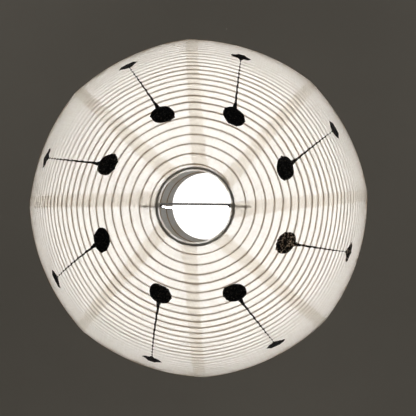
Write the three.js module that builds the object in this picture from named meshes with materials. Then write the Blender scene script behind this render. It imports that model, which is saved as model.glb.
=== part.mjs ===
// A round paper lantern shade: eight paper gores glued over one long spiral of split cane, a wire
// ring in the hem of each mouth, and a welded wire expander that stretches the skin between the
// rings and holds the lampholder. Millimetres, +Z up. The origin is the centre of the lampholder's
// hole, on the holder ring's top face, so the shade hangs below it.
import * as THREE from 'three';

// Skin
const SKIN_RADIUS = 225; // middle of the paper
const PAPER = 0.5; // stands for a sheet of about 0.15 mm and its glue
const SEAM_DEGREES = [41, 87.5, 132.5, 180, 222.5, 266, 311, 354]; // laid by hand, so not quite even
const SEAM_OVERLAP = 14; // width of the glued strip
const LAYER_STEP = 0.9; // from one layer's middle to the other's in a glued strip
const DRAWN_IN = 0.9875; // radius halfway between two seams, beside the radius at a seam
const DRAWN_IN_FROM = 12; // degrees of latitude past a mouth over which the round rim gives way
const SKIN_ROWS = 20;

// Mouths
const RING_RADIUS = 40.5;
const RING_WIRE = 2.5;
const RING_SIDES = 8;
const FOLD_RADIUS = 1.8; // of the hem's middle round the ring's wire
const FOLD_ROWS = 4;
const HEM_TAIL = 3;

// Rib spiral
const RIB_SECTION = 1.05; // three-sided, with the area of a round 1.4 mm cane
const RIB_INSET = 2.3; // the cane's centre from the paper's middle
const RIB_START = 13; // degrees of latitude from the pole, just past the hem
const PITCH_MOUTH = 2.96; // degrees of latitude to a turn, near a mouth
const PITCH_WAIST = 1.95;
const WAIST_FROM = 50; // degrees of latitude where the pitch stops tightening
const RIB_FIRST_CORNER = 2; // the plan corner where the cane starts, at the second seam

// Expander
const EXPANDER_WIRE = 2.2;
const WIRE_SIDES = 8;
const LEG_RADIUS = 36; // from the axis to a leg
const FOOT_REACH = 58; // from the axis to a foot's tip
const FOOT_LIFT = 4.9; // a foot's centre from the ring's centre, square to the skin
const BEND = 4;
const BEND_STEPS = 3;
const CROSS_WIRE_REACH = 40;
const HOLDER_DROP = 8.2; // from the top ring's centre down to the holder ring's middle
const HOLDER_THICKNESS = 2;
const HOLDER_OUTER = 27;
const HOLDER_HOLE = 20.5; // radius, for a common 40 mm lampholder skirt
const HOLDER_SEGMENTS = 24;
const GAP = 0.3; // between pieces that touch

const { degToRad } = THREE.MathUtils;
const TURN = 2 * Math.PI;

const hemAngle = Math.asin(RING_RADIUS / (SKIN_RADIUS - FOLD_RADIUS)); // latitude of the rings
const ringHeight = (SKIN_RADIUS - FOLD_RADIUS) * Math.cos(hemAngle); // from the shade's middle
const holderZ = -HOLDER_THICKNESS / 2;
const centreZ = holderZ + HOLDER_DROP - ringHeight;

const paper = { color: 0xede6d6, roughness: 0.9, metalness: 0 };
const steel = { color: 0xa0a0a2, roughness: 0.4, metalness: 0.9 };
const cane = { color: 0xa08462, roughness: 0.7, metalness: 0 };

// ---- The skin's plan: a polygon with a corner at each seam and one halfway between seams ----

const planCorners = SEAM_DEGREES.flatMap((seam, i) => {
  const next = i + 1 < SEAM_DEGREES.length ? SEAM_DEGREES[i + 1] : SEAM_DEGREES[0] + 360;
  return [
    { angle: degToRad(seam), middle: false },
    { angle: degToRad((seam + next) / 2), middle: true },
  ];
});

function cornerAt(index) {
  const count = planCorners.length;
  const corner = planCorners[((index % count) + count) % count];
  return { angle: corner.angle + TURN * Math.floor(index / count), middle: corner.middle };
}

// How far the plan's side between two corners is from the axis, beside a reach of 1 at the seams.
function sideReach(angle, corner, drawnIn) {
  const [from, to] = [cornerAt(corner), cornerAt(corner + 1)];
  const fromReach = from.middle ? drawnIn : 1;
  const toReach = to.middle ? drawnIn : 1;
  const along = Math.sin(to.angle - from.angle) * fromReach * toReach;
  return along / (fromReach * Math.sin(angle - from.angle) + toReach * Math.sin(to.angle - angle));
}

function drawnInAt(latitude) {
  const fromMouth = Math.min(latitude, Math.PI - latitude) - hemAngle;
  const share = THREE.MathUtils.clamp(fromMouth / degToRad(DRAWN_IN_FROM), 0, 1);
  return 1 - (1 - DRAWN_IN) * share;
}

// ---- The skin's profile, from the bottom hem's tail, over the skin, to the top hem's tail ----

// Latitude runs from 0 at the bottom pole to half a turn at the top pole.
function skinRow(latitude) {
  const normal = new THREE.Vector2(Math.sin(latitude), -Math.cos(latitude));
  return { place: normal.clone().multiplyScalar(SKIN_RADIUS), normal, drawnIn: drawnInAt(latitude) };
}

// The paper folds half a turn round the ring's wire and ends in a short tail inside the shade.
function hemRows() {
  const wireCentre = new THREE.Vector2(RING_RADIUS, -ringHeight);
  const rows = [];
  for (let i = 0; i < FOLD_ROWS; i++) {
    const facing = hemAngle - Math.PI * (1 - i / FOLD_ROWS);
    const normal = new THREE.Vector2(Math.sin(facing), -Math.cos(facing));
    const place = wireCentre.clone().addScaledVector(normal, FOLD_RADIUS);
    rows.push({ place, normal, drawnIn: 1 });
  }
  const outward = new THREE.Vector2(Math.cos(hemAngle), Math.sin(hemAngle));
  const tail = rows[0].place.clone().addScaledVector(outward, HEM_TAIL);
  return [{ place: tail, normal: rows[0].normal, drawnIn: 1 }, ...rows];
}

function flipped(row) {
  const upsideDown = (v) => new THREE.Vector2(v.x, -v.y);
  return { place: upsideDown(row.place), normal: upsideDown(row.normal), drawnIn: row.drawnIn };
}

function profileRows() {
  const skin = [];
  for (let i = 0; i <= SKIN_ROWS; i++) {
    skin.push(skinRow(hemAngle + (Math.PI - 2 * hemAngle) * (i / SKIN_ROWS)));
  }
  return [...hemRows(), ...skin, ...hemRows().map(flipped).reverse()];
}

// ---- Meshes from grids of points ----

function quad(faces, a, b, c, d) {
  faces.push(a, b, c, a, c, d);
}

function geometryOf(points, faces) {
  const geometry = new THREE.BufferGeometry();
  const places = points.flatMap((point) => point.toArray());
  geometry.setAttribute('position', new THREE.Float32BufferAttribute(places, 3));
  geometry.setIndex(faces);
  return geometry;
}

// A closed sheet between two grids of the same rows and columns, the outer one facing out.
function sheetGeometry(outer, inner) {
  const [rows, columns] = [outer.length, outer[0].length];
  const at = (row, column) => row * columns + column;
  const under = (row, column) => rows * columns + at(row, column);
  const faces = [];
  const [lastRow, lastColumn] = [rows - 1, columns - 1];
  for (let r = 0; r < lastRow; r++) {
    for (let c = 0; c < lastColumn; c++) {
      quad(faces, at(r, c), at(r, c + 1), at(r + 1, c + 1), at(r + 1, c));
      quad(faces, under(r, c), under(r + 1, c), under(r + 1, c + 1), under(r, c + 1));
    }
    quad(faces, at(r, 0), at(r + 1, 0), under(r + 1, 0), under(r, 0));
    quad(faces, at(r, lastColumn), under(r, lastColumn), under(r + 1, lastColumn), at(r + 1, lastColumn));
  }
  for (let c = 0; c < lastColumn; c++) {
    quad(faces, at(0, c), under(0, c), under(0, c + 1), at(0, c + 1));
    quad(faces, at(lastRow, c), at(lastRow, c + 1), under(lastRow, c + 1), under(lastRow, c));
  }
  return geometryOf([...outer.flat(), ...inner.flat()], faces);
}

// A closed loop of wire through plan points, with its section upright at each of them.
function loopGeometry(angles, radius, wireRadius) {
  const points = [];
  const faces = [];
  const at = (section, side) => (section % angles.length) * RING_SIDES + (side % RING_SIDES);
  angles.forEach((angle, i) => {
    for (let s = 0; s < RING_SIDES; s++) {
      const round = (TURN * s) / RING_SIDES;
      const reach = radius + wireRadius * Math.cos(round);
      const z = wireRadius * Math.sin(round);
      points.push(new THREE.Vector3(reach * Math.cos(angle), reach * Math.sin(angle), z));
      quad(faces, at(i, s), at(i + 1, s), at(i + 1, s + 1), at(i, s + 1));
    }
  });
  return geometryOf(points, faces);
}

// ---- Gores ----

// Each gore starts under its neighbour, on the rib side, and ends over the next one.
function goreColumns(gore, row) {
  const first = 2 * gore;
  const strip = SEAM_OVERLAP / Math.max(row.place.x, RING_RADIUS);
  const [start, middle, end] = [first, first + 1, first + 2].map((corner) => cornerAt(corner).angle);
  return [
    { angle: start, side: first, layer: 0 },
    { angle: start + strip, side: first, layer: 0 },
    { angle: middle, side: first, layer: LAYER_STEP / 2 },
    { angle: end, side: first + 1, layer: LAYER_STEP },
    { angle: end + strip, side: first + 2, layer: LAYER_STEP },
  ];
}

function gorePoint(row, column, lift) {
  const reach = sideReach(column.angle, column.side, row.drawnIn);
  const radius = row.place.x * reach + row.normal.x * lift;
  const z = row.place.y + row.normal.y * lift;
  return new THREE.Vector3(radius * Math.cos(column.angle), radius * Math.sin(column.angle), z);
}

function goreGeometry(gore) {
  const grid = (half) => profileRows().map((row) =>
    goreColumns(gore, row).map((column) => gorePoint(row, column, column.layer + half)));
  return sheetGeometry(grid(PAPER / 2), grid(-PAPER / 2));
}

// ---- Wires ----

// A wire that passes through its points, with one step of the sweep between two points.
class BentWire extends THREE.Curve {
  constructor(points) {
    super();
    this.points = points;
  }

  getPoint(t, target = new THREE.Vector3()) {
    const place = t * (this.points.length - 1);
    const from = Math.min(Math.floor(place), this.points.length - 2);
    return target.lerpVectors(this.points[from], this.points[from + 1], place - from);
  }

  getUtoTmapping(u) {
    return u;
  }
}

function wireGeometry(points, wireRadius, sides) {
  const corners = [];
  for (let i = 0; i < sides; i++) {
    const angle = (TURN * i) / sides;
    corners.push(new THREE.Vector2(wireRadius * Math.cos(angle), wireRadius * Math.sin(angle)));
  }
  return new THREE.ExtrudeGeometry(new THREE.Shape(corners), {
    steps: points.length - 1,
    bevelEnabled: false,
    extrudePath: new BentWire(points),
  });
}

// Replaces each inner corner of a path by a short bend.
function bentPath(corners) {
  const path = [corners[0]];
  for (let i = 1; i + 1 < corners.length; i++) {
    const towards = (other) => other.clone().sub(corners[i]).setLength(BEND).add(corners[i]);
    const [from, to] = [towards(corners[i - 1]), towards(corners[i + 1])];
    const bend = new THREE.QuadraticBezierCurve3(from, corners[i], to);
    path.push(...bend.getPoints(BEND_STEPS));
  }
  path.push(corners[corners.length - 1]);
  return path;
}

// Degrees of latitude to a turn of the rib: wide near the mouths and tighter round the waist.
function pitchAt(latitude) {
  const fromPole = THREE.MathUtils.radToDeg(Math.min(latitude, Math.PI - latitude));
  const share = THREE.MathUtils.clamp((fromPole - RIB_START) / (WAIST_FROM - RIB_START), 0, 1);
  return THREE.MathUtils.lerp(PITCH_MOUTH, PITCH_WAIST, share);
}

// One cane winds from mouth to mouth, clockwise as it climbs, with a corner under each seam.
function ribPoints() {
  const points = [];
  let latitude = degToRad(RIB_START);
  for (let corner = RIB_FIRST_CORNER; latitude < Math.PI - degToRad(RIB_START); corner--) {
    const { angle, middle } = cornerAt(corner);
    const radius = (SKIN_RADIUS - RIB_INSET) * Math.sin(latitude) * (middle ? drawnInAt(latitude) : 1);
    const z = -(SKIN_RADIUS - RIB_INSET) * Math.cos(latitude);
    points.push(new THREE.Vector3(radius * Math.cos(angle), radius * Math.sin(angle), z));
    const step = (angle - cornerAt(corner - 1).angle) / TURN;
    latitude += degToRad(pitchAt(latitude)) * step;
  }
  return points;
}

// ---- Expander ----

// Each side wire is a leg with a foot bent outward at both ends. The feet lie along the skin's slope,
// over the bottom ring and under the top ring, and push the two rings apart.
const footSlope = Math.tan(hemAngle);
const footRise = FOOT_LIFT / Math.cos(hemAngle) - (RING_RADIUS - LEG_RADIUS) * footSlope;
const footInnerZ = ringHeight - footRise;
const footTipZ = footInnerZ - (FOOT_REACH - LEG_RADIUS) * footSlope;

function sideWire(side) {
  const corners = [
    new THREE.Vector3(side * FOOT_REACH, 0, -footTipZ),
    new THREE.Vector3(side * LEG_RADIUS, 0, -footInnerZ),
    new THREE.Vector3(side * LEG_RADIUS, 0, footInnerZ),
    new THREE.Vector3(side * FOOT_REACH, 0, footTipZ),
  ];
  return wireGeometry(bentPath(corners), EXPANDER_WIRE / 2, WIRE_SIDES);
}

function straightWire(from, to) {
  return wireGeometry([from, to], EXPANDER_WIRE / 2, WIRE_SIDES);
}

// Welded beside both legs, just above the bottom ring.
function bottomCrossWire() {
  const y = -(EXPANDER_WIRE + GAP);
  const z = FOOT_LIFT - ringHeight;
  return straightWire(new THREE.Vector3(-CROSS_WIRE_REACH, y, z), new THREE.Vector3(CROSS_WIRE_REACH, y, z));
}

// A short arm from the holder ring's edge to a leg.
function topArm(side) {
  const z = holderZ - centreZ;
  const inner = HOLDER_OUTER + GAP;
  const outer = LEG_RADIUS - EXPANDER_WIRE / 2 - GAP;
  return straightWire(new THREE.Vector3(side * inner, 0, z), new THREE.Vector3(side * outer, 0, z));
}

function holderRing() {
  const outline = new THREE.Shape();
  outline.absarc(0, 0, HOLDER_OUTER, 0, TURN);
  const hole = new THREE.Path();
  hole.absarc(0, 0, HOLDER_HOLE, 0, TURN, true);
  outline.holes.push(hole);
  const options = { depth: HOLDER_THICKNESS, bevelEnabled: false, curveSegments: HOLDER_SEGMENTS };
  return new THREE.ExtrudeGeometry(outline, options);
}

// ---- Assembly ----

function piece(name, geometry, finish) {
  const mesh = new THREE.Mesh(geometry, new THREE.MeshStandardMaterial(finish));
  mesh.name = name;
  return mesh;
}

function mouthRing(name, z) {
  const angles = planCorners.map((corner) => corner.angle);
  const ring = piece(name, loopGeometry(angles, RING_RADIUS, RING_WIRE / 2), steel);
  ring.position.z = z;
  return ring;
}

function shade() {
  const group = new THREE.Group();
  SEAM_DEGREES.forEach((_, gore) => group.add(piece(`gore_${gore + 1}`, goreGeometry(gore), paper)));
  group.add(piece('rib_spiral', wireGeometry(ribPoints(), RIB_SECTION, 3), cane));
  group.add(mouthRing('bottom_ring', -ringHeight));
  group.add(mouthRing('top_ring', ringHeight));
  return group;
}

function expander() {
  const group = new THREE.Group();
  group.add(piece('side_wire_left', sideWire(-1), steel));
  group.add(piece('side_wire_right', sideWire(1), steel));
  group.add(piece('bottom_cross_wire', bottomCrossWire(), steel));
  group.add(piece('top_arm_left', topArm(-1), steel));
  group.add(piece('top_arm_right', topArm(1), steel));
  const holder = piece('holder_ring', holderRing(), steel);
  holder.position.z = -HOLDER_THICKNESS - centreZ;
  group.add(holder);
  return group;
}

const lantern = new THREE.Group();
lantern.add(shade(), expander());
lantern.position.z = centreZ;
lantern.updateMatrixWorld(true);

export default lantern;
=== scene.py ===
import math
import random

import bpy
import numpy as np
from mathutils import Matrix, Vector


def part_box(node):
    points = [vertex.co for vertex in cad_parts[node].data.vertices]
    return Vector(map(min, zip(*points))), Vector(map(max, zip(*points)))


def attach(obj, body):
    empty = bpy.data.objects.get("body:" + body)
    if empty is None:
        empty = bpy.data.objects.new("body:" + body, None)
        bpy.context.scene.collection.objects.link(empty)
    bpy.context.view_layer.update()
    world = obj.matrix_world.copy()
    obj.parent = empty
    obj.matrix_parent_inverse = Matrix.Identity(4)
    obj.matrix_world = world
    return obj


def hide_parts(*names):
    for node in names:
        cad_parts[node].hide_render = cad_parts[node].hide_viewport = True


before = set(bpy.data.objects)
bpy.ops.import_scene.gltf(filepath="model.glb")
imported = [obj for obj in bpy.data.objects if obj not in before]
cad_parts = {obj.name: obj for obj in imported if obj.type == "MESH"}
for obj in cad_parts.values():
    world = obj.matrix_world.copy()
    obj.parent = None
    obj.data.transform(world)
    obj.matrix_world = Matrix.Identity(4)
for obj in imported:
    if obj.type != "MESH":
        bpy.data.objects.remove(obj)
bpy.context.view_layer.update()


# ---- Mouth rings ----
# Two hoops of drawn steel wire hold the mouths open. Each is bent from one length of wire, and its
# ends are butt welded, which leaves a low swelling. The paper is folded round them later.
RING_RADIUS = 0.0405
RING_WIRE = 0.0025
WELD_AZIMUTH = {"bottom_ring": 118, "top_ring": 245}
WELD_SWELLING = ((0.0020, 1.012), (0.0012, 1.012), (0.0006, 1.012))  # reach from the weld, growth


def select_where(piece, wanted):
    """Leaves the piece in edit mode, with only the vertices chosen by wanted(place) selected."""
    bpy.ops.object.mode_set(mode="EDIT")
    bpy.ops.mesh.select_mode(type="VERT")
    bpy.ops.mesh.select_all(action="DESELECT")
    bpy.ops.object.mode_set(mode="OBJECT")
    for vertex in piece.data.vertices:
        vertex.select = bool(wanted(vertex.co))
    bpy.ops.object.mode_set(mode="EDIT")


def join_shader(tree, source, target, name):
    """Links one node's output to a named input of another."""
    tree.links.new(source, target.inputs[name])


def handling_marks():
    """A group with patches of tarnish and fine lines along drawn or rolled metal."""
    group = bpy.data.node_groups.new("handling_marks", "ShaderNodeTree")
    for name, kind in (("Vector", "NodeSocketVector"), ("Patch Scale", "NodeSocketFloat"),
                       ("Line Scale", "NodeSocketFloat")):
        group.interface.new_socket(name, in_out="INPUT", socket_type=kind)
    for name in ("Patches", "Lines"):
        group.interface.new_socket(name, in_out="OUTPUT", socket_type="NodeSocketFloat")
    given = group.nodes.new("NodeGroupInput")
    result = group.nodes.new("NodeGroupOutput")
    patches = group.nodes.new("ShaderNodeTexNoise")
    patches.inputs["Detail"].default_value = 6
    patches.inputs["Roughness"].default_value = 0.62
    lines = group.nodes.new("ShaderNodeTexNoise")
    lines.inputs["Detail"].default_value = 3
    sharper = group.nodes.new("ShaderNodeMapRange")
    sharper.inputs["From Min"].default_value = 0.42
    sharper.inputs["From Max"].default_value = 0.66
    group.links.new(given.outputs["Vector"], patches.inputs["Vector"])
    group.links.new(given.outputs["Vector"], lines.inputs["Vector"])
    group.links.new(given.outputs["Patch Scale"], patches.inputs["Scale"])
    group.links.new(given.outputs["Line Scale"], lines.inputs["Scale"])
    group.links.new(patches.outputs["Fac"], sharper.inputs["Value"])
    group.links.new(sharper.outputs["Result"], result.inputs["Patches"])
    group.links.new(lines.outputs["Fac"], result.inputs["Lines"])
    return group


marks_group = handling_marks()


def wire_finish(name, bright, tarnished, smooth, rough):
    """Drawn wire: bright metal with duller patches and fine lines from the drawing die."""
    finish = bpy.data.materials.new(name)
    finish.use_nodes = True
    tree = finish.node_tree
    metal = tree.nodes["Principled BSDF"]
    metal.inputs["Metallic"].default_value = 1
    place = tree.nodes.new("ShaderNodeTexCoord")
    marks = tree.nodes.new("ShaderNodeGroup")
    marks.node_tree = marks_group
    marks.inputs["Patch Scale"].default_value = 160
    marks.inputs["Line Scale"].default_value = 2600
    colour = tree.nodes.new("ShaderNodeMix")
    colour.data_type = "RGBA"
    colour.inputs["A"].default_value = (*bright, 1)
    colour.inputs["B"].default_value = (*tarnished, 1)
    dulling = tree.nodes.new("ShaderNodeMapRange")
    dulling.inputs["To Min"].default_value = smooth
    dulling.inputs["To Max"].default_value = rough
    relief = tree.nodes.new("ShaderNodeBump")
    relief.inputs["Strength"].default_value = 0.35
    relief.inputs["Distance"].default_value = 0.00005
    join_shader(tree, place.outputs["Object"], marks, "Vector")
    join_shader(tree, marks.outputs["Patches"], colour, "Factor")
    join_shader(tree, marks.outputs["Patches"], dulling, "Value")
    join_shader(tree, marks.outputs["Lines"], relief, "Height")
    join_shader(tree, colour.outputs["Result"], metal, "Base Color")
    join_shader(tree, dulling.outputs["Result"], metal, "Roughness")
    join_shader(tree, relief.outputs["Normal"], metal, "Normal")
    return finish


def finish_piece(piece, name, finish, slot, body, *nodes):
    """Names a finished piece, gives it its material, hides the CAD parts it stands for, and hangs it on
    its body.
    """
    piece.name = name
    piece.data.name = name
    piece.data.materials.clear()
    piece.data.materials.append(finish)
    if nodes:
        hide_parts(*nodes)
    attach(piece, body)


def ring_height(node):
    low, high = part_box(node)
    return (low.z + high.z) / 2


ring_steel = wire_finish("ring_steel", (0.50, 0.49, 0.48), (0.20, 0.17, 0.145), 0.32, 0.58)
for node, azimuth in WELD_AZIMUTH.items():
    bpy.ops.object.select_all(action="DESELECT")
    bpy.ops.mesh.primitive_torus_add(
        location=(0, 0, ring_height(node)), major_radius=RING_RADIUS, minor_radius=RING_WIRE / 2,
        major_segments=216, minor_segments=20)
    ring = bpy.context.object
    bpy.ops.object.transform_apply(location=True)
    turned = math.radians(azimuth)
    weld = Vector((RING_RADIUS * math.cos(turned), RING_RADIUS * math.sin(turned), ring_height(node)))
    for reach, growth in WELD_SWELLING:
        select_where(ring, lambda place: (place - weld).length < reach + RING_WIRE / 2)
        bpy.ops.transform.resize(value=(growth,) * 3, center_override=weld)
        bpy.ops.object.mode_set(mode="OBJECT")
    bpy.ops.object.shade_smooth()
    finish_piece(ring, node + "_wire", ring_steel, "ring_wire", "shade", node)


# ---- Cane rib ----
# One long split cane winds from the bottom ring to the top ring, clockwise as it climbs, and the
# paper is glued over it. Its turns lie wide near the mouths and closer round the waist.
SKIN_RADIUS = 0.225
SEAMS = (41, 87.5, 132.5, 180, 222.5, 266, 311, 354)  # degrees, laid by hand, so not quite even
DRAWN_IN = 0.0125  # share of the radius by which the plan pulls in halfway between seams
ROUND_MOUTH = 12  # degrees of latitude over which the round mouth gives way to that plan
PITCH_LATITUDES = (13, 50)
PITCHES = (2.96, 1.95)  # degrees of latitude to a turn, at and past those latitudes
CANE_RADIUS = 0.00088
CANE_INSET = 0.0012  # from the paper's middle to the cane's
CANE_AZIMUTH = 33  # where the first turn would pass the ring's centre line
CANE_END = 0.18  # turns from there to where the cane starts, against the ring
CANE_STEPS = 96  # to a turn
CANE_TAPER = 9  # turns over which each end of the cane grows to its full thickness
CANE_SIDES = 6
CANE_END_SHARE = 0.8  # of CANE_RADIUS, at each end, and what it grows by from there
CANE_GROWTH = 0.28
CANE_WAVES = ((0.05, 5.3, 0), (0.04, 17.9, 1))  # share of the radius, radians to a turn, phase
LATITUDE_SAMPLES = 2401
MERGE_DISTANCE = 0.00001

centre_z = (ring_height("bottom_ring") + ring_height("top_ring")) / 2
half_height = (ring_height("top_ring") - ring_height("bottom_ring")) / 2
hem_latitude = math.degrees(math.atan2(RING_RADIUS, half_height))

# Latitude runs from 0 at the bottom pole to 180 at the top pole, in degrees.
latitude_steps = np.linspace(hem_latitude, 180 - hem_latitude, LATITUDE_SAMPLES)
pitch_steps = np.interp(np.minimum(latitude_steps, 180 - latitude_steps), PITCH_LATITUDES, PITCHES)
turn_steps = np.diff(latitude_steps) * 2 / (pitch_steps[1:] + pitch_steps[:-1])
turns_from_hem = np.concatenate(([0], np.cumsum(turn_steps)))
cane_turns = turns_from_hem[-1]


def latitude_at(turns):
    return np.interp(turns, turns_from_hem, latitude_steps)


def turns_at(latitude):
    return np.interp(latitude, latitude_steps, turns_from_hem)


def plan_reach(latitude, azimuth):
    """How far the skin reaches from the axis, beside a reach of 1 at the seams."""
    starts = np.array(SEAMS + (SEAMS[0] + 360,))
    turned = (azimuth - SEAMS[0]) % 360 + SEAMS[0]
    gore = np.clip(np.searchsorted(starts, turned, side="right") - 1, 0, len(SEAMS) - 1)
    share = (turned - starts[gore]) / (starts[gore + 1] - starts[gore])
    from_mouth = np.minimum(latitude, 180 - latitude) - hem_latitude
    drawn = np.clip(from_mouth / ROUND_MOUTH, 0, 1)
    return 1 - DRAWN_IN * drawn * np.sin(np.pi * share)


def wire_along(points, radius, sides, fullness=None):
    """A round wire through the points, closed at both ends. Fullness scales it at each point."""
    bpy.ops.object.select_all(action="DESELECT")
    bpy.ops.curve.primitive_nurbs_path_add()
    wire = bpy.context.object
    curve = wire.data
    curve.splines.clear()
    line = curve.splines.new("POLY")
    line.points.add(len(points) - 1)
    line.points.foreach_set("co", np.column_stack((points, np.ones(len(points)))).ravel())
    if fullness is not None:
        line.points.foreach_set("radius", fullness)
    line.use_smooth = True
    curve.dimensions = "3D"
    curve.bevel_depth = radius
    curve.bevel_resolution = sides // 2 - 2
    curve.use_fill_caps = True
    bpy.ops.object.convert(target="MESH")
    bpy.ops.object.mode_set(mode="EDIT")
    bpy.ops.mesh.select_all(action="SELECT")
    bpy.ops.mesh.remove_doubles(threshold=MERGE_DISTANCE)
    bpy.ops.mesh.normals_make_consistent(inside=False)
    bpy.ops.object.mode_set(mode="OBJECT")
    return bpy.context.object


def cane_finish():
    """Split cane: straw brown and a little translucent, with a dull skin of dried glue."""
    finish = bpy.data.materials.new("split_cane")
    finish.use_nodes = True
    tree = finish.node_tree
    cane = tree.nodes["Principled BSDF"]
    place = tree.nodes.new("ShaderNodeTexCoord")
    marks = tree.nodes.new("ShaderNodeGroup")
    marks.node_tree = marks_group
    marks.inputs["Patch Scale"].default_value = 45
    marks.inputs["Line Scale"].default_value = 1400
    colour = tree.nodes.new("ShaderNodeMix")
    colour.data_type = "RGBA"
    colour.inputs["A"].default_value = (0.26, 0.185, 0.115, 1)
    colour.inputs["B"].default_value = (0.14, 0.095, 0.06, 1)
    gloss = tree.nodes.new("ShaderNodeMapRange")
    gloss.inputs["To Min"].default_value = 0.5
    gloss.inputs["To Max"].default_value = 0.75
    relief = tree.nodes.new("ShaderNodeBump")
    relief.inputs["Strength"].default_value = 0.5
    relief.inputs["Distance"].default_value = 0.0001
    join_shader(tree, place.outputs["Object"], marks, "Vector")
    join_shader(tree, marks.outputs["Patches"], colour, "Factor")
    join_shader(tree, marks.outputs["Patches"], gloss, "Value")
    join_shader(tree, marks.outputs["Lines"], relief, "Height")
    join_shader(tree, colour.outputs["Result"], cane, "Base Color")
    join_shader(tree, gloss.outputs["Result"], cane, "Roughness")
    join_shader(tree, relief.outputs["Normal"], cane, "Normal")
    glow = tree.nodes.new("ShaderNodeBsdfTranslucent")
    glow.inputs["Color"].default_value = (0.86, 0.69, 0.49, 1)
    split = tree.nodes.new("ShaderNodeMixShader")
    split.inputs["Fac"].default_value = 0.55
    tree.links.new(cane.outputs["BSDF"], split.inputs[1])
    tree.links.new(glow.outputs["BSDF"], split.inputs[2])
    tree.links.new(split.outputs["Shader"], tree.nodes["Material Output"].inputs["Surface"])
    return finish


turns = np.arange(CANE_END, cane_turns - CANE_END, 1 / CANE_STEPS)
azimuths = CANE_AZIMUTH - 360 * turns
latitudes = np.radians(latitude_at(turns))
reach = (SKIN_RADIUS - CANE_INSET) * np.sin(latitudes) * plan_reach(latitude_at(turns), azimuths)
cane_points = np.column_stack((
    reach * np.cos(np.radians(azimuths)),
    reach * np.sin(np.radians(azimuths)),
    centre_z - (SKIN_RADIUS - CANE_INSET) * np.cos(latitudes)))
tapered = np.clip(np.minimum(turns, cane_turns - turns) / CANE_TAPER, 0, 1)
uneven = CANE_END_SHARE + CANE_GROWTH * tapered
for depth, rate, phase in CANE_WAVES:
    uneven += depth * np.sin(turns * rate + phase)
cane = wire_along(cane_points, CANE_RADIUS, CANE_SIDES, uneven)
bpy.ops.object.shade_smooth()
finish_piece(cane, "cane_rib", cane_finish(), "rib_cane", "shade", "rib_spiral")


# ---- Paper gores ----
# Eight gores of thin lined paper are glued over the cane, each edge over the next gore's. Drying
# pulls the paper in between turns. Its ends wrap the rings and stand up inside as a short collar.
PAPER = 0.0002
LAYER_STEP = 0.0003  # from one layer's middle to the other's in a glued strip
OVERLAP = 0.014
OVERLAP_AT_MOUTH = 0.003  # more than that, where the gore's ends are cut wide
OVERLAP_FADE = 8  # degrees of latitude over which that fades
STRIP_WAVES = ((0.035, 0.9, 2), (0.02, 2.3, 1))  # share of the width, radians a degree, shift a seam
SAG = 0.0008  # how far the paper dips between two turns of the cane
CREST = 0.12  # how round its crest over the cane is
SLACK = 0.4  # share by which the dip varies
SLACK_WAVES = ((23, 7, 0), (41, -19, 2), (67, 31, 4))  # waves round the shade, along it, shift
FOLD_RADIUS = 0.0014
TUCK_LATITUDE = 2.2  # degrees over which the skin comes down onto the ring
FOLD_END = -42  # degrees, where the paper leaves the ring and stands up inside the mouth
TAIL = 0.0024  # length of that collar past the fold
TAIL_ROWS = 3
FOLD_ROWS = 8
ROWS_TO_TURN = 12
STRIP_COLUMNS = 6
MIDDLE_COLUMNS = 18
EDGE_TOLERANCE = 0.01  # degrees
STAIN_AND_SHADE_EVEN_TO = 45  # degrees from the pole, past which the paste stain and painted shade on the glued strips fade
STAIN_AND_SHADE_FADE = 35  # degrees over which it fades
STAIN_AND_SHADE_LOST = 0.9  # share of the stain and painted shade that is gone by then
SHEET_CREASE = 50  # degrees, past which an edge of a sheet is shaded sharp

ring_from_centre = math.hypot(RING_RADIUS, half_height)
tuck = SKIN_RADIUS - ring_from_centre - FOLD_RADIUS


def smooth_share(value):
    value = np.clip(value, 0, 1)
    return value * value * (3 - 2 * value)


def skin_relief(latitude, azimuth):
    """How far the paper stands out from the sphere: it dips between turns, a little unevenly."""
    phase = (turns_at(latitude) + (azimuth - CANE_AZIMUTH) / 360) % 1
    dip = np.hypot(4 * phase * (1 - phase), CREST) - CREST
    across, along = np.radians(azimuth), np.radians(latitude)
    slack = sum(np.sin(waves_round * across + waves_along * along + shift)
                for waves_round, waves_along, shift in SLACK_WAVES) / len(SLACK_WAVES)
    from_hem = np.minimum(latitude, 180 - latitude) - hem_latitude
    settled = smooth_share(from_hem / TUCK_LATITUDE)
    return -SAG * dip * (1 + SLACK * slack) * settled - tuck * (1 - settled)


def skin_place(latitude, azimuth, lift):
    """Places on the skin, as rows of x, y and z. Lift is how far outside the paper's middle."""
    polar, turned = np.radians(latitude), np.radians(azimuth)
    stand = skin_relief(latitude, azimuth) + lift
    reach = SKIN_RADIUS * np.sin(polar) * plan_reach(latitude, azimuth) + np.sin(polar) * stand
    height = centre_z - np.cos(polar) * (SKIN_RADIUS + stand)
    return np.column_stack((reach * np.cos(turned), reach * np.sin(turned), height))


def fold_place(bottom, facing, azimuth, lift, beyond):
    """Places on the hem round a ring. Facing is the fold's way out, as a latitude in degrees."""
    side = -1 if bottom else 1
    way = np.radians(facing)
    radius = FOLD_RADIUS + lift
    reach = RING_RADIUS + radius * np.sin(way) - beyond * np.cos(way)
    height = half_height + radius * np.cos(way) + beyond * np.sin(way)
    turned = np.radians(azimuth)
    return np.column_stack((reach * np.cos(turned), reach * np.sin(turned), centre_z + side * height))


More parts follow.
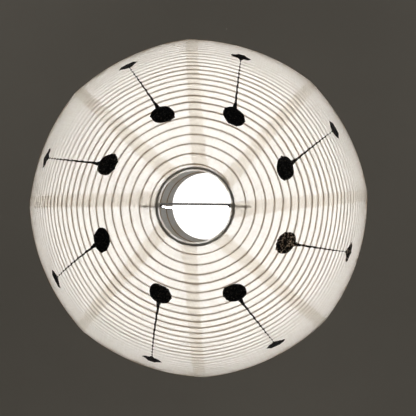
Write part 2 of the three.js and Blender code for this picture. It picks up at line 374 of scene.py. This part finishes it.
def paper_finish():
    """Thin lined paper: soft streaks along the gore, cloudy pulp, and at its seams paste stains darkened
    further as painted shade of the doubled paper.
    """
    finish = bpy.data.materials.new("lined_paper")
    finish.use_nodes = True
    tree = finish.node_tree
    nodes = tree.nodes
    face = nodes["Principled BSDF"]
    face.inputs["Roughness"].default_value = 0.85
    face.inputs["Specular IOR Level"].default_value = 0.25
    cut = nodes.new("ShaderNodeUVMap")
    cut.uv_map = "cut"
    stretch = nodes.new("ShaderNodeMapping")
    stretch.inputs["Scale"].default_value = (1, 0.07, 1)
    streaks = nodes.new("ShaderNodeTexNoise")
    streaks.inputs["Scale"].default_value = 480
    streaks.inputs["Detail"].default_value = 4
    clouds = nodes.new("ShaderNodeTexNoise")
    clouds.inputs["Scale"].default_value = 85
    clouds.inputs["Detail"].default_value = 8
    clouds.inputs["Roughness"].default_value = 0.7
    both = nodes.new("ShaderNodeMath")
    both.operation = "ADD"
    evenness = nodes.new("ShaderNodeMapRange")
    evenness.inputs["From Min"].default_value = 0.78
    evenness.inputs["From Max"].default_value = 1.2
    seen_through = nodes.new("ShaderNodeMix")
    seen_through.data_type = "RGBA"
    seen_through.inputs["A"].default_value = (0.945, 0.937, 0.915, 1)
    seen_through.inputs["B"].default_value = (1.0, 1.0, 0.99, 1)
    seen_on = nodes.new("ShaderNodeMix")
    seen_on.data_type = "RGBA"
    seen_on.inputs["A"].default_value = (0.89, 0.88, 0.855, 1)
    seen_on.inputs["B"].default_value = (0.96, 0.955, 0.935, 1)
    # The glued strips are darkened in colour: partly paste stain, partly painted shade of the doubled
    # paper.
    paste_stain_and_shade = nodes.new("ShaderNodeAttribute")
    paste_stain_and_shade.attribute_name = "paste_stain_and_shade"
    stain_and_shade_tints = []
    for stain_and_shade in ((0.981, 0.973, 0.965, 1), (0.88, 0.85, 0.82, 1)):
        tint = nodes.new("ShaderNodeMix")
        tint.data_type = "RGBA"
        tint.blend_type = "MULTIPLY"
        tint.inputs["B"].default_value = stain_and_shade
        join_shader(tree, paste_stain_and_shade.outputs["Fac"], tint, "Factor")
        stain_and_shade_tints.append(tint)
    relief = nodes.new("ShaderNodeBump")
    relief.inputs["Strength"].default_value = 0.4
    relief.inputs["Distance"].default_value = 0.0001
    glow = nodes.new("ShaderNodeBsdfTranslucent")
    sheet = nodes.new("ShaderNodeMixShader")
    sheet.inputs["Fac"].default_value = 0.945
    join_shader(tree, cut.outputs["UV"], stretch, "Vector")
    join_shader(tree, stretch.outputs["Vector"], streaks, "Vector")
    join_shader(tree, cut.outputs["UV"], clouds, "Vector")
    tree.links.new(streaks.outputs["Fac"], both.inputs[0])
    tree.links.new(clouds.outputs["Fac"], both.inputs[1])
    join_shader(tree, both.outputs["Value"], evenness, "Value")
    join_shader(tree, evenness.outputs["Result"], seen_through, "Factor")
    join_shader(tree, evenness.outputs["Result"], seen_on, "Factor")
    join_shader(tree, both.outputs["Value"], relief, "Height")
    join_shader(tree, relief.outputs["Normal"], face, "Normal")
    join_shader(tree, relief.outputs["Normal"], glow, "Normal")
    join_shader(tree, seen_through.outputs["Result"], stain_and_shade_tints[0], "A")
    join_shader(tree, seen_on.outputs["Result"], stain_and_shade_tints[1], "A")
    join_shader(tree, stain_and_shade_tints[0].outputs["Result"], glow, "Color")
    join_shader(tree, stain_and_shade_tints[1].outputs["Result"], face, "Base Color")
    tree.links.new(face.outputs["BSDF"], sheet.inputs[1])
    tree.links.new(glow.outputs["BSDF"], sheet.inputs[2])
    tree.links.new(sheet.outputs["Shader"], nodes["Material Output"].inputs["Surface"])
    return finish


skin_rows = int(cane_turns * ROWS_TO_TURN)
row_latitudes = latitude_at(np.linspace(0, cane_turns, skin_rows + 1))
row_count = skin_rows + 2 * (FOLD_ROWS + TAIL_ROWS)
column_count = MIDDLE_COLUMNS + 2 * STRIP_COLUMNS


def strip_angle(seam, latitude, radius):
    """How far the glued strip past a seam reaches round, in degrees. Its edge was cut by hand."""
    from_mouth = min(latitude, 180 - latitude) - hem_latitude
    width = OVERLAP + OVERLAP_AT_MOUTH * math.exp(-max(from_mouth, 0) / OVERLAP_FADE)
    seam %= len(SEAMS)
    uneven_cut = 1
    for depth, rate, shift in STRIP_WAVES:
        uneven_cut += depth * math.sin(latitude * rate + seam * shift)
    return math.degrees(width * uneven_cut / radius)


def column_azimuths(gore, latitude, radius):
    """Azimuths of a row's columns, and each one's lift onto the next gore's edge."""
    ends = SEAMS + (SEAMS[0] + 360,)
    start, end = ends[gore], ends[gore + 1]
    under, over = strip_angle(gore, latitude, radius), strip_angle(gore + 1, latitude, radius)
    edges = (
        np.linspace(start, start + under, STRIP_COLUMNS + 1)[:-1],
        np.linspace(start + under, end, MIDDLE_COLUMNS + 1)[:-1],
        np.linspace(end, end + over, STRIP_COLUMNS + 1))
    azimuth = np.concatenate(edges)
    lift = np.where(azimuth > end - EDGE_TOLERANCE, LAYER_STEP, 0.0)
    return azimuth, lift


def gore_places(gore):
    """Rows of places from the tail inside the bottom mouth to the tail inside the top one."""
    rows = []
    for bottom in (True, False):
        hem = []
        azimuth, lift = column_azimuths(gore, hem_latitude, RING_RADIUS)
        for step in range(TAIL_ROWS):
            beyond = TAIL * (1 - step / TAIL_ROWS)
            hem.append(fold_place(bottom, FOLD_END, azimuth, lift, beyond))
        for step in range(FOLD_ROWS):
            facing = FOLD_END + (hem_latitude - FOLD_END) * step / FOLD_ROWS
            hem.append(fold_place(bottom, facing, azimuth, lift, 0))
        if bottom:
            rows += hem
            for latitude in row_latitudes:
                azimuth, lift = column_azimuths(
                    gore, latitude, SKIN_RADIUS * math.sin(math.radians(latitude)))
                rows.append(skin_place(np.full(len(azimuth), latitude), azimuth, lift))
        else:
            rows += hem[::-1]
    return np.array(rows)


lined_paper = paper_finish()
for gore in range(len(SEAMS)):
    places = gore_places(gore)
    bpy.ops.object.select_all(action="DESELECT")
    bpy.ops.mesh.primitive_grid_add(
        x_subdivisions=column_count, y_subdivisions=row_count, size=2, calc_uvs=True)
    sheet = bpy.context.object
    flat = np.zeros(len(sheet.data.vertices) * 3)
    sheet.data.vertices.foreach_get("co", flat)
    flat = flat.reshape(-1, 3)
    column = np.rint((flat[:, 0] + 1) / 2 * column_count).astype(int)
    row = np.rint((flat[:, 1] + 1) / 2 * row_count).astype(int)
    sheet.data.vertices.foreach_set("co", places[row, column].ravel())
    across = np.linalg.norm(np.diff(places, axis=1), axis=2)
    along = np.linalg.norm(np.diff(places[:, column_count // 2], axis=0), axis=1)
    widths = np.concatenate((np.zeros((row_count + 1, 1)), np.cumsum(across, axis=1)), axis=1)
    widths -= widths[:, -1:] / 2
    lengths = np.concatenate(([0], np.cumsum(along)))
    corners = np.zeros(len(sheet.data.loops), int)
    sheet.data.loops.foreach_get("vertex_index", corners)
    cut_layer = sheet.data.uv_layers[0]
    cut_layer.name = "cut"
    # Each gore is set a metre along from the last, so no two have the same streaks.
    cut_places = np.column_stack((widths[row, column] + gore, lengths[row]))[corners]
    cut_layer.data.foreach_set("uv", cut_places.ravel())
    # The glued strips get a darker colour, partly paste stain and partly painted shade of the doubled
    # paper, fading toward the waist.
    first_column = column[corners].reshape(-1, 4).min(axis=1)
    in_middle = (first_column >= STRIP_COLUMNS) & (first_column < STRIP_COLUMNS + MIDDLE_COLUMNS)
    paste_stain_and_shade = sheet.data.attributes.new("paste_stain_and_shade", "FLOAT", "FACE")
    first_row = row[corners].reshape(-1, 4).min(axis=1) - FOLD_ROWS - TAIL_ROWS
    from_pole = row_latitudes[np.clip(first_row, 0, skin_rows)]
    thinned = smooth_share((np.minimum(from_pole, 180 - from_pole) - STAIN_AND_SHADE_EVEN_TO) / STAIN_AND_SHADE_FADE)
    stain_and_shade = np.where(in_middle, 0, 1 - STAIN_AND_SHADE_LOST * thinned)
    paste_stain_and_shade.data.foreach_set("value", stain_and_shade.astype(np.float32))
    sheet.data.update()
    thicken = sheet.modifiers.new("thickness", "SOLIDIFY")
    thicken.thickness = PAPER
    thicken.offset = 0
    bpy.ops.object.modifier_apply(modifier="thickness")
    bpy.ops.object.shade_smooth_by_angle(angle=math.radians(SHEET_CREASE))
    name = f"paper_gore_{gore + 1}"
    finish_piece(sheet, name, lined_paper, "paper", "shade", f"gore_{gore + 1}")


# ---- Ink marks ----
# Each gore carries one mark, brushed by hand in black ink on the finished shade: a round blot near
# the mouth, a thin stem that catches on the cane, and a short bar across its end.
INK_FILM = 0.00012
INK_GAP = 0.00006  # between the film and the paper, so that their faces don't meet
INK_LIFT = PAPER / 2 + INK_GAP
BLOT_RADIUS = (0.0119, 0.0128)  # along the stem and across it
BLOT_POINTS = 72
BLOT_WAVES = (3, 4, 5, 7, 9, 13)  # how many times each wave goes round the blot's edge
BLOT_WAVE_DEPTH = 0.06  # share of the radius, divided by that count
BLOT_WAVE_SHARES = (0.4, 1)  # how much of that depth a wave takes, least and most
BLOT_NECK = 0.15  # radians of the edge, each way, that the stem's root takes up
SPURS = 4
SPUR_HEIGHTS = (0.04, 0.09)  # share of the radius, least and most
SPUR_WIDTH = 0.09  # radians, as is the stretch kept clear of spurs on each side of the stem
SPUR_CLEAR = 0.8
STEM_STEP = 0.0006
STEM_HALF = (0.00115, 0.00075)  # half its width at the blot and at the bar
STEM_DRY = 0.72  # share of its width lost between turns of the cane, near the bar
STEM_SWAY = 0.0006  # how far it bows to a side, at most
STEM_RIPPLE = 0.0002
STEM_RIPPLE_RATE = 420  # radians to a metre
STEM_RIPPLE_SHIFT = 4000  # radians to a metre of sway
STEM_JITTER = 0.00008
BEAD_HALF = 0.00045  # more than its half width, where the brush catches on the cane
BEAD_REACH = 0.13  # turns of the cane
ROOT_FLARE = 0.0018  # half the extra width where the stem leaves the blot, and how far it reaches
ROOT_REACH = 0.0045
BAR_HALF = 0.0128  # half the bar's length, then its thickness and its neck toward the stem
BAR_THICK = 0.0168
BAR_NECK = 0.003
BAR_NECK_WIDTH = 0.2  # share of the bar's half length
BAR_SIDES = (0.5, 0.45)  # share of its thickness past its middle, away from the stem and toward it
BAR_TAPER = (1.8, 0.9)  # powers that round its ends
BAR_TILT = 0.15  # how far it slopes, at most
BAR_RAGGED = 0.0005
BAR_RAGGED_RATE = 11  # radians to half the bar
BAR_RAGGED_SHIFT = 9000  # radians to a metre of sway
BAR_POINTS = 12
CONFORM_STEP = 0.0013  # size of the film's facets
BRUSH_SEED = 8
# For each mark: latitude and azimuth of its blot, the same of its bar, and how thin the ink is.
MARKS = (
    ((27.4, 65.5), (58.1, 60.2), 0.15),
    ((27.3, 112.2), (59.1, 106.7), 0.15),
    ((29.2, 160.6), (59.5, 153.3), 0.12),
    ((28.6, 205.6), (60.3, 198.1), 0.15),
    ((28.7, 250.2), (59.0, 243.9), 0.12),
    ((28.8, 292.9), (57.8, 286.2), 0.1),
    ((28.5, 336.7), (58.3, 330.4), 0.15),
    ((28.4, 381.7), (58.7, 376.4), 1.0),
)


def blot_edge(brush, neck):
    """Places round a blot, from one side of the stem's root to the other."""
    waves = [(count, brush.uniform(*BLOT_WAVE_SHARES) * BLOT_WAVE_DEPTH / count,
              brush.uniform(0, 2 * math.pi))
             for count in BLOT_WAVES]
    spurs = [(brush.uniform(SPUR_CLEAR, 2 * math.pi - SPUR_CLEAR), brush.uniform(*SPUR_HEIGHTS))
             for _ in range(SPURS)]
    edge = []
    for i in range(BLOT_POINTS + 1):
        angle = neck + (2 * math.pi - 2 * neck) * i / BLOT_POINTS
        size = 1 + sum(depth * math.sin(count * angle + phase) for count, depth, phase in waves)
        size += sum(high * math.exp(-((angle - at) / SPUR_WIDTH) ** 2) for at, high in spurs)
        edge.append((BLOT_RADIUS[0] * size * math.cos(angle), BLOT_RADIUS[1] * size * math.sin(angle)))
    return edge


def mark_outline(brush, length, cane_phase):
    """The mark's outline, laid flat: x runs from the blot's middle to the bar's, y across."""
    blot = blot_edge(brush, BLOT_NECK)
    root = min(blot[0][0], blot[-1][0])
    sway = brush.uniform(-STEM_SWAY, STEM_SWAY)
    tilt = brush.uniform(-BAR_TILT, BAR_TILT)
    bar_start = length - BAR_THICK / 2 - BAR_NECK
    stem = {1: [], -1: []}
    steps = int((bar_start - root) / STEM_STEP)
    for i in range(1, steps):
        x = root + (bar_start - root) * i / steps
        share = i / steps
        middle = sway * math.sin(math.pi * share)
        middle += STEM_RIPPLE * math.sin(x * STEM_RIPPLE_RATE + sway * STEM_RIPPLE_SHIFT)
        half = STEM_HALF[0] + (STEM_HALF[1] - STEM_HALF[0]) * share
        half += ROOT_FLARE * math.exp(-(x - root) / ROOT_REACH)
        bead = math.exp(-(((cane_phase(x) + 0.5) % 1 - 0.5) / BEAD_REACH) ** 2)
        half *= 1 - STEM_DRY * share * share * (1 - bead)
        half += BEAD_HALF * bead * min(1, 2 * share)
        for side in stem:
            jitter = brush.uniform(-STEM_JITTER, STEM_JITTER)
            stem[side].append((x, middle + side * (half + jitter)))
    bar = {"inner": {}, "outer": {}}
    for i in range(-BAR_POINTS, BAR_POINTS + 1):
        across = i / BAR_POINTS
        taper = (1 - abs(across) ** BAR_TAPER[0]) ** BAR_TAPER[1]
        ragged = BAR_RAGGED * taper * math.sin(across * BAR_RAGGED_RATE + sway * BAR_RAGGED_SHIFT)
        neck = BAR_NECK * math.exp(-(across / BAR_NECK_WIDTH) ** 2)
        y = across * BAR_HALF
        bar["outer"][i] = (length + BAR_THICK * BAR_SIDES[0] * taper + ragged + tilt * y, y)
        bar["inner"][i] = (length - BAR_THICK * BAR_SIDES[1] * taper - neck + ragged + tilt * y, y)
    return (stem[1]
            + [bar["inner"][i] for i in range(1, BAR_POINTS)]
            + [bar["outer"][i] for i in range(BAR_POINTS, -BAR_POINTS - 1, -1)]
            + [bar["inner"][i] for i in range(-BAR_POINTS + 1, 0)]
            + stem[-1][::-1] + blot[::-1])


def ink_finish():
    """Black ink: nearly matt, with thin places where light from inside shows brown."""
    finish = bpy.data.materials.new("black_ink")
    finish.use_nodes = True
    tree = finish.node_tree
    nodes = tree.nodes
    face = nodes["Principled BSDF"]
    face.inputs["Specular IOR Level"].default_value = 0.15
    place = nodes.new("ShaderNodeTexCoord")
    thin = nodes.new("ShaderNodeAttribute")
    thin.attribute_name = "thin"
    grain = nodes.new("ShaderNodeTexNoise")
    grain.inputs["Scale"].default_value = 420
    grain.inputs["Detail"].default_value = 5
    grain.inputs["Roughness"].default_value = 0.65
    holes = nodes.new("ShaderNodeMapRange")
    holes.inputs["From Min"].default_value = 0.52
    holes.inputs["From Max"].default_value = 0.66
    share = nodes.new("ShaderNodeMath")
    share.operation = "MULTIPLY"
    colour = nodes.new("ShaderNodeMix")
    colour.data_type = "RGBA"
    colour.inputs["A"].default_value = (0.006, 0.006, 0.006, 1)
    colour.inputs["B"].default_value = (0.03, 0.022, 0.016, 1)
    gloss = nodes.new("ShaderNodeMapRange")
    gloss.inputs["To Min"].default_value = 0.6
    gloss.inputs["To Max"].default_value = 0.9
    relief = nodes.new("ShaderNodeBump")
    relief.inputs["Strength"].default_value = 0.5
    relief.inputs["Distance"].default_value = 0.0001
    glow = nodes.new("ShaderNodeBsdfTranslucent")
    glow.inputs["Color"].default_value = (0.78, 0.68, 0.58, 1)
    film = nodes.new("ShaderNodeMixShader")
    join_shader(tree, place.outputs["Object"], grain, "Vector")
    join_shader(tree, grain.outputs["Fac"], holes, "Value")
    join_shader(tree, grain.outputs["Fac"], relief, "Height")
    join_shader(tree, grain.outputs["Fac"], gloss, "Value")
    tree.links.new(holes.outputs["Result"], share.inputs[0])
    tree.links.new(thin.outputs["Fac"], share.inputs[1])
    join_shader(tree, share.outputs["Value"], colour, "Factor")
    join_shader(tree, share.outputs["Value"], film, "Fac")
    join_shader(tree, colour.outputs["Result"], face, "Base Color")
    join_shader(tree, gloss.outputs["Result"], face, "Roughness")
    join_shader(tree, relief.outputs["Normal"], face, "Normal")
    tree.links.new(face.outputs["BSDF"], film.inputs[1])
    tree.links.new(glow.outputs["BSDF"], film.inputs[2])
    tree.links.new(film.outputs["Shader"], nodes["Material Output"].inputs["Surface"])
    return finish


black_ink = ink_finish()
brush = random.Random(BRUSH_SEED)
for number, (blot_at, bar_at, thinness) in enumerate(MARKS, start=1):
    middle_radius = SKIN_RADIUS * math.sin(math.radians((blot_at[0] + bar_at[0]) / 2))
    rise = SKIN_RADIUS * math.radians(bar_at[0] - blot_at[0])
    drift = middle_radius * math.radians(bar_at[1] - blot_at[1])
    length = math.hypot(rise, drift)
    # Seen along the shade's axis, the stem is straight from the blot to the bar.
    start, end = [math.sin(math.radians(latitude)) * np.array((math.cos(turned), math.sin(turned)))
                  for latitude, turned in ((at[0], math.radians(at[1])) for at in (blot_at, bar_at))]
    run = end - start
    facing = start @ run

    def laid(x, y):
        """Latitude and azimuth of a place in the flat layout."""
        latitude = blot_at[0] + (bar_at[0] - blot_at[0]) * x / length
        reach = np.sin(np.radians(latitude))
        along = (np.sqrt(facing ** 2 - run @ run * (start @ start - reach ** 2)) - facing) / (run @ run)
        azimuth = np.degrees(np.arctan2(start[1] + along * run[1], start[0] + along * run[0]))
        return latitude, azimuth + np.degrees(y / (SKIN_RADIUS * reach))

    def cane_phase(x):
        latitude, azimuth = laid(x, 0.0)
        return float(turns_at(latitude) + (azimuth - CANE_AZIMUTH) / 360)

    outline = np.array(mark_outline(brush, length, cane_phase))
    bpy.ops.object.select_all(action="DESELECT")
    bpy.ops.mesh.primitive_circle_add(vertices=len(outline), fill_type="NGON")
    mark = bpy.context.object
    mark.data.vertices.foreach_set("co", np.column_stack((outline, np.zeros(len(outline)))).ravel())
    bpy.ops.object.mode_set(mode="EDIT")
    bpy.ops.mesh.select_all(action="SELECT")
    bpy.ops.mesh.quads_convert_to_tris(quad_method="BEAUTY", ngon_method="BEAUTY")
    for axis in (0, 1):
        low, high = outline[:, axis].min(), outline[:, axis].max()
        direction = (1, 0, 0) if axis == 0 else (0, 1, 0)
        for cut_at in np.arange(low + CONFORM_STEP, high, CONFORM_STEP):
            bpy.ops.mesh.select_all(action="SELECT")
            bpy.ops.mesh.bisect(plane_co=[float(cut_at * part) for part in direction], plane_no=direction)
    bpy.ops.object.mode_set(mode="OBJECT")
    flat = np.zeros(len(mark.data.vertices) * 3)
    mark.data.vertices.foreach_get("co", flat)
    flat = flat.reshape(-1, 3)
    latitude, azimuth = laid(flat[:, 0], flat[:, 1])
    mark.data.vertices.foreach_set("co", skin_place(latitude, azimuth, INK_LIFT).ravel())
    mark.data.update()
    outward = Vector(mark.data.polygons[0].center) - Vector((0, 0, centre_z))
    if mark.data.polygons[0].normal.dot(outward) < 0:
        mark.data.flip_normals()
    thicken = mark.modifiers.new("film", "SOLIDIFY")
    thicken.thickness = INK_FILM
    thicken.offset = 1
    bpy.ops.object.modifier_apply(modifier="film")
    bpy.ops.object.shade_smooth_by_angle(angle=math.radians(SHEET_CREASE))
    thin = mark.data.attributes.new("thin", "FLOAT", "POINT")
    thin.data.foreach_set("value", np.full(len(mark.data.vertices), thinness, np.float32))
    finish_piece(mark, f"ink_mark_{number}", black_ink, "ink", "shade")


# ---- Expander wires ----
# Two side wires stand inside the shade. Each is a leg with a foot bent outward at both ends, which
# pushes the mouth rings apart. A cross wire and two short arms are welded to the legs.
EXPANDER_WIRE = 0.0022
LEG_RADIUS = 0.036
BEND_RADIUS = 0.0048
BEND_STEPS = 10
WIRE_SIDES = 16
FOOT_LIFT = 0.0049  # from the ring's middle to the foot's, square to the foot
FOOT_PRESS = 0.0022  # the feet spring toward the skin, so a tip rests nearly on the cane
END_ROUNDING = 0.0005
BEVEL_FROM = 60  # degrees, past which an edge is rounded
METAL_CREASE = 35  # degrees, past which an edge is shaded sharp
CROSS_SKEW = 0.0006  # one end of the cross wire stands off its leg, as it was welded by eye


def bent_through(corners):
    """The corners of a path, with each inner one rounded by an arc."""
    path = [corners[0]]
    for before, corner, after in zip(corners, corners[1:], corners[2:]):
        into, out = (before - corner).normalized(), (after - corner).normalized()
        half_angle = into.angle(out) / 2
        setback = BEND_RADIUS / math.tan(half_angle)
        centre = corner + (into + out).normalized() * BEND_RADIUS / math.sin(half_angle)
        first = (corner + into * setback - centre).normalized()
        last = (corner + out * setback - centre).normalized()
        for i in range(BEND_STEPS + 1):
            path.append(centre + first.slerp(last, i / BEND_STEPS) * BEND_RADIUS)
    return path + [corners[-1]]


def rounded_wire(corners):
    """A wire of the expander, bent through the corners, with both cut ends rounded off."""
    wire = wire_along(bent_through(corners), EXPANDER_WIRE / 2, WIRE_SIDES)
    rounding = wire.modifiers.new("rounded_ends", "BEVEL")
    rounding.width = END_ROUNDING
    rounding.segments = 4
    rounding.limit_method = "ANGLE"
    rounding.angle_limit = math.radians(BEVEL_FROM)
    bpy.ops.object.modifier_apply(modifier="rounded_ends")
    bpy.ops.object.shade_smooth_by_angle(angle=math.radians(METAL_CREASE))
    return wire


zinc = wire_finish("bright_zinc", (0.74, 0.75, 0.77), (0.42, 0.43, 0.45), 0.22, 0.42)
side_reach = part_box("side_wire_right")[1].x
for side, node in ((-1, "side_wire_left"), (1, "side_wire_right")):
    slope = math.tan(math.radians(hem_latitude))
    lift = FOOT_LIFT / math.cos(math.radians(hem_latitude))
    inner_height = half_height - lift + (RING_RADIUS - LEG_RADIUS) * slope
    tip_height = inner_height - (side_reach - LEG_RADIUS) * slope + FOOT_PRESS
    corners = [
        Vector((side * side_reach, 0, centre_z - tip_height)),
        Vector((side * LEG_RADIUS, 0, centre_z - inner_height)),
        Vector((side * LEG_RADIUS, 0, centre_z + inner_height)),
        Vector((side * side_reach, 0, centre_z + tip_height)),
    ]
    finish_piece(rounded_wire(corners), node + "_bent", zinc, "expander_wire", "expander", node)

cross_low, cross_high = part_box("bottom_cross_wire")
cross_z = (cross_low.z + cross_high.z) / 2
cross_y = (cross_low.y + cross_high.y) / 2
cross_ends = [Vector((cross_low.x, cross_y - CROSS_SKEW, cross_z)),
              Vector((cross_high.x, cross_y + CROSS_SKEW / 3, cross_z))]
finish_piece(rounded_wire(cross_ends), "bottom_cross_bar", zinc, "expander_wire", "expander",
             "bottom_cross_wire")

for side, node in ((-1, "top_arm_left"), (1, "top_arm_right")):
    arm_low, arm_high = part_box(node)
    arm_z = (arm_low.z + arm_high.z) / 2
    ends = [Vector((x, 0, arm_z)) for x in (arm_low.x, arm_high.x)]
    finish_piece(rounded_wire(ends), node + "_rod", zinc, "expander_wire", "expander", node)


# ---- Holder ring ----
# A flat steel washer at the top, blanked from sheet, with its edges tumbled round. The lampholder's
# skirt goes up through its hole and its clamping ring screws up against it.
HOLDER_HOLE = 0.0205
HOLDER_EDGE = 0.0003
holder_low, holder_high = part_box("holder_ring")
bpy.ops.object.select_all(action="DESELECT")
bpy.ops.mesh.primitive_circle_add(vertices=120, radius=holder_high.x, location=(0, 0, holder_low.z))
holder = bpy.context.object
bpy.ops.object.transform_apply(location=True)
bpy.ops.object.mode_set(mode="EDIT")
bpy.ops.mesh.select_all(action="SELECT")
bpy.ops.mesh.extrude_region_move()
bpy.ops.transform.resize(value=(HOLDER_HOLE / holder_high.x,) * 3, center_override=(0, 0, holder_low.z))
bpy.ops.mesh.select_all(action="SELECT")
bpy.ops.mesh.extrude_region_move(TRANSFORM_OT_translate={"value": (0, 0, holder_high.z - holder_low.z)})
bpy.ops.mesh.select_all(action="SELECT")
bpy.ops.mesh.normals_make_consistent(inside=False)
bpy.ops.object.mode_set(mode="OBJECT")
edges = holder.modifiers.new("tumbled_edges", "BEVEL")
edges.width = HOLDER_EDGE
edges.segments = 3
edges.limit_method = "ANGLE"
edges.angle_limit = math.radians(BEVEL_FROM)
bpy.ops.object.modifier_apply(modifier="tumbled_edges")
bpy.ops.object.shade_smooth_by_angle(angle=math.radians(METAL_CREASE))
finish_piece(holder, "holder_washer", zinc, "expander_wire", "expander", "holder_ring")


# ---- Weld beads ----
# Small puddles of weld join the cross wire and the arms to the legs, and the arms to the washer.
# One bead is shaped, and the others are copies of it.
BEAD_RADIUS = 0.0013
BEAD_STRETCH = (1.15, 1, 0.85)
BEAD_SHIFT = 0.0002  # the beads on the cross wire sit a little high, and one of them to a side
BEAD_RIPPLE = 0.05  # share of the radius
BEAD_RIPPLE_RATES = (5200, 3900)  # radians to a metre, along x and y
bead_places = {
    "weld_bead_cross_left": Vector((-LEG_RADIUS, cross_y / 2 - BEAD_SHIFT, cross_z + BEAD_SHIFT)),
    "weld_bead_cross_right": Vector((LEG_RADIUS, cross_y / 2, cross_z + BEAD_SHIFT)),
}
for side, word in ((-1, "left"), (1, "right")):
    arm_low, arm_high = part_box(f"top_arm_{word}")
    arm_z = (arm_low.z + arm_high.z) / 2
    inner, outer = sorted((arm_low.x, arm_high.x), key=abs)
    bead_places[f"weld_bead_holder_{word}"] = Vector((inner, 0, arm_z))
    bead_places[f"weld_bead_leg_{word}"] = Vector((outer, 0, arm_z))
bpy.ops.object.select_all(action="DESELECT")
bpy.ops.mesh.primitive_ico_sphere_add(subdivisions=4, radius=BEAD_RADIUS)
first_bead = bpy.context.object
bpy.ops.object.mode_set(mode="EDIT")
bpy.ops.mesh.select_all(action="SELECT")
bpy.ops.transform.resize(value=BEAD_STRETCH, center_override=(0, 0, 0))
bpy.ops.object.mode_set(mode="OBJECT")
for vertex in first_bead.data.vertices:
    ripple = (math.sin(vertex.co.x * BEAD_RIPPLE_RATES[0])
              * math.cos(vertex.co.y * BEAD_RIPPLE_RATES[1] + 1))
    vertex.co *= 1 + BEAD_RIPPLE * ripple
bpy.ops.object.shade_smooth()
weld_steel = wire_finish("weld_steel", (0.44, 0.42, 0.40), (0.22, 0.19, 0.17), 0.35, 0.6)
for name, place in bead_places.items():
    bead = first_bead.copy()
    bead.data = first_bead.data.copy()
    bpy.context.scene.collection.objects.link(bead)
    for vertex in bead.data.vertices:
        vertex.co += place
    finish_piece(bead, name, weld_steel, "expander_wire", "expander")
bpy.data.objects.remove(first_bead)


# ---- Lamp, studio and camera ----
# The lamp is part of the fitting, so it is only light: a 95 mm globe as three lights, one down, one
# all round and one whose bright disc shows. The room is a pale floor, a dull ceiling board high above,
# and three soft lights.
LAMP_RADIUS = 0.0475
LAMP_OFFSET = (0.008, -0.003, 0.045)  # from the shade's middle, since it hangs a little askew
LAMP_DOWN_WATTS = 2.7
LAMP_AROUND_WATTS = 0.5
LAMP_GLOBE_WATTS = 0.13
STUDIO_LIGHTS = {  # place, watts and width
    "studio_left": ((-2.2, -2.0, 0.9), 17, 1.6),
    "studio_right": ((2.4, -1.2, 0.5), 10, 1.8),
    "studio_back": ((0.4, 2.6, 0.7), 9, 1.6),
}
TONE_SPREAD = 0.1  # share by which a board's paint varies
CAMERA_OFFSET = (0.0192, 0.0070, -0.94)  # from the shade's middle
CAMERA_TILT = (0.0077, -0.0078)  # radians away from straight up
CAMERA_LENS = 59.3
CAMERA_SENSOR = 36
shade_middle = Vector((0, 0, centre_z))
lamp_place = shade_middle + Vector(LAMP_OFFSET)


def add_light(name, kind, place, energy, colour, **sizes):
    light = bpy.data.lights.new(name, kind)
    light.energy = energy
    light.color = colour
    for size, value in sizes.items():
        setattr(light, size, value)
    holder_object = bpy.data.objects.new(name, light)
    bpy.context.scene.collection.objects.link(holder_object)
    holder_object.location = place
    return holder_object


warm = (1.0, 0.98, 0.955)
add_light("lamp_down", "SPOT", lamp_place, LAMP_DOWN_WATTS, warm, shadow_soft_size=LAMP_RADIUS,
          spot_size=math.pi, spot_blend=1.0)
add_light("lamp_around", "POINT", lamp_place, LAMP_AROUND_WATTS, warm, shadow_soft_size=LAMP_RADIUS)
globe = add_light("lamp_globe", "POINT", lamp_place, LAMP_GLOBE_WATTS, warm, shadow_soft_size=LAMP_RADIUS)
globe.visible_camera = True


def soft_light(name, place, energy, size):
    light = add_light(name, "AREA", place, energy, (1, 0.985, 0.96), shape="DISK", size=size)
    towards = shade_middle - Vector(place)
    light.rotation_euler = towards.to_track_quat("-Z", "Y").to_euler()


for name, (place, watts, width) in STUDIO_LIGHTS.items():
    soft_light(name, place, watts, width)


def flat_board(name, size, height, colour, scale):
    """A staged board with a faint unevenness, as plaster or a painted floor has."""
    bpy.ops.object.select_all(action="DESELECT")
    bpy.ops.mesh.primitive_plane_add(size=size, location=(0, 0, height))
    board = bpy.context.object
    board.name = name
    paint = bpy.data.materials.new(name)
    paint.use_nodes = True
    tree = paint.node_tree
    face = tree.nodes["Principled BSDF"]
    face.inputs["Roughness"].default_value = 0.9
    uneven_paint = tree.nodes.new("ShaderNodeTexNoise")
    uneven_paint.inputs["Scale"].default_value = scale
    uneven_paint.inputs["Detail"].default_value = 6
    tone = tree.nodes.new("ShaderNodeMix")
    tone.data_type = "RGBA"
    tone.inputs["A"].default_value = (*[part * (1 - TONE_SPREAD) for part in colour], 1)
    tone.inputs["B"].default_value = (*[part * (1 + TONE_SPREAD) for part in colour], 1)
    join_shader(tree, uneven_paint.outputs["Fac"], tone, "Factor")
    join_shader(tree, tone.outputs["Result"], face, "Base Color")
    board.data.materials.append(paint)


flat_board("floor", size=30, height=-2.0, colour=(0.72, 0.71, 0.69), scale=1.5)
flat_board("ceiling", size=3.2, height=1.6, colour=(0.29, 0.27, 0.235), scale=6)

world = bpy.data.worlds.new("soft_grey")
bpy.context.scene.world = world
world.use_nodes = True
world.node_tree.nodes["Background"].inputs["Color"].default_value = (0.10, 0.098, 0.093, 1)
bpy.context.scene.view_settings.view_transform = "Standard"

camera_data = bpy.data.cameras.new("camera")
camera_data.lens = CAMERA_LENS
camera_data.sensor_width = CAMERA_SENSOR
camera = bpy.data.objects.new("camera", camera_data)
bpy.context.scene.collection.objects.link(camera)
camera.location = shade_middle + Vector(CAMERA_OFFSET)
camera.rotation_euler = (math.pi + CAMERA_TILT[0], CAMERA_TILT[1], 0)
bpy.context.scene.camera = camera
